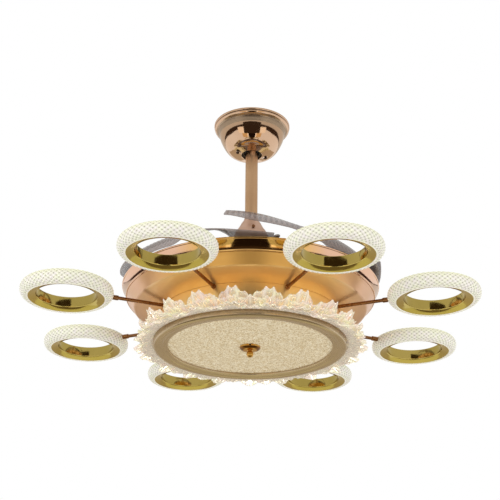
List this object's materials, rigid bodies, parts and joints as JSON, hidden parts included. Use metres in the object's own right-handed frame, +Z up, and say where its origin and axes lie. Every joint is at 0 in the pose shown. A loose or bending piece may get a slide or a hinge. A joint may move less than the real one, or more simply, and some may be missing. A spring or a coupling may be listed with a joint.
{
  "type": "chandelier ceiling fan",
  "caption": "Ceiling fan on a downrod with folding crescent blades over a bowl-shaped lamp housing, a petal-skirted diffuser and crystal ring lamps on radial arms.",
  "frame": {"origin": "on the fan's axis, on the ceiling: the middle of the bracket strap's top face", "axes": "+Z up along the downrod, -Y towards the viewer of the picture"},
  "size_m": [0.835, 0.835, 0.5058],
  "materials": {
    "rose_gold": "polished rose gold plate",
    "gold": "polished gold plate",
    "satin_gold": "satin gold plate",
    "champagne": "satin champagne paint",
    "steel": "zinc plated",
    "dark_steel": "blackened",
    "brass_gear": "machined",
    "copper": "laminations and enamelled copper",
    "black_plastic": "moulded",
    "white_plastic": "printed board",
    "smoked_acrylic": "translucent smoked acrylic",
    "crystal": "clear faceted acrylic, softly lit",
    "pebbled_glass": "pebbled diffuser, softly lit"
  },
  "bodies": {
    "ceiling_mount": {"ceiling_bracket": "steel", "canopy": "rose_gold", "canopy_screw_left": "dark_steel", "canopy_screw_right": "dark_steel", "receiver_box": "black_plastic"},
    "hanging_body": {"hanger_ball": "black_plastic", "ball_pin": "dark_steel", "downrod": "rose_gold", "yoke_cover": "rose_gold", "cover_screw": "dark_steel", "yoke": "steel", "yoke_bolt": "dark_steel", "motor_shaft": "steel", "stator": "copper", "housing_top": "gold", "housing_bowl": "satin_gold", "lamp_drum": "satin_gold", "led_board": "white_plastic", "diffuser": "pebbled_glass", "bezel": "champagne", "crystal_skirt": "crystal", "finial": "gold", "lamp_arm_1": "gold", "lamp_arm_2": "gold", "lamp_arm_3": "gold", "lamp_arm_4": "gold", "lamp_arm_5": "gold", "lamp_arm_6": "gold", "lamp_arm_7": "gold", "lamp_arm_8": "gold", "lamp_band_1": "gold", "lamp_band_2": "gold", "lamp_band_3": "gold", "lamp_band_4": "gold", "lamp_band_5": "gold", "lamp_band_6": "gold", "lamp_band_7": "gold", "lamp_band_8": "gold", "lamp_crystal_1": "crystal", "lamp_crystal_2": "crystal", "lamp_crystal_3": "crystal", "lamp_crystal_4": "crystal", "lamp_crystal_5": "crystal", "lamp_crystal_6": "crystal", "lamp_crystal_7": "crystal", "lamp_crystal_8": "crystal"},
    "rotor": {"motor_shell": "steel", "motor_cap": "steel", "lower_bearing": "steel", "upper_bearing": "steel", "blade_carrier": "steel"},
    "sync_ring": {"sync_gear": "brass_gear"},
    "fan_blade_1": {"blade_hub_1": "steel", "blade_1": "smoked_acrylic"},
    "fan_blade_2": {"blade_hub_2": "steel", "blade_2": "smoked_acrylic"},
    "fan_blade_3": {"blade_hub_3": "steel", "blade_3": "smoked_acrylic"},
    "fan_blade_4": {"blade_hub_4": "steel", "blade_4": "smoked_acrylic"}
  },
  "joints": [
    {"name": "rod_swing", "type": "hinge", "parent": "ceiling_mount", "child": "hanging_body", "pos_m": [0, 0, -0.045], "axis": [1, 0, 0], "range_deg": [-8, 8]},
    {"name": "fan_spin", "type": "hinge", "parent": "hanging_body", "child": "rotor", "pos_m": [0, 0, -0.33], "axis": [0, 0, 1], "continuous": true},
    {"name": "blade_1_open", "type": "hinge", "parent": "rotor", "child": "fan_blade_1", "pos_m": [0.20422, 0.01787, -0.36], "axis": [0, 0, 1], "range_deg": [0, 115], "stiffness_Nm_per_rad": 0.08, "springref_deg": -20.05},
    {"name": "blade_2_open", "type": "hinge", "parent": "rotor", "child": "fan_blade_2", "pos_m": [-0.01787, 0.20422, -0.36], "axis": [0, 0, 1], "range_deg": [0, 115]},
    {"name": "blade_3_open", "type": "hinge", "parent": "rotor", "child": "fan_blade_3", "pos_m": [-0.20422, -0.01787, -0.36], "axis": [0, 0, 1], "range_deg": [0, 115]},
    {"name": "blade_4_open", "type": "hinge", "parent": "rotor", "child": "fan_blade_4", "pos_m": [0.01787, -0.20422, -0.36], "axis": [0, 0, 1], "range_deg": [0, 115]},
    {"name": "sync_turn", "type": "hinge", "parent": "rotor", "child": "sync_ring", "pos_m": [0, 0, -0.36], "axis": [0, 0, 1], "range_deg": [-28.75, 0]}
  ],
  "couplings": [
    {"joint": "blade_2_open", "follows": "blade_1_open", "ratio": 1},
    {"joint": "blade_3_open", "follows": "blade_1_open", "ratio": 1},
    {"joint": "blade_4_open", "follows": "blade_1_open", "ratio": 1},
    {"joint": "sync_turn", "follows": "blade_1_open", "ratio": -0.25}
  ]
}
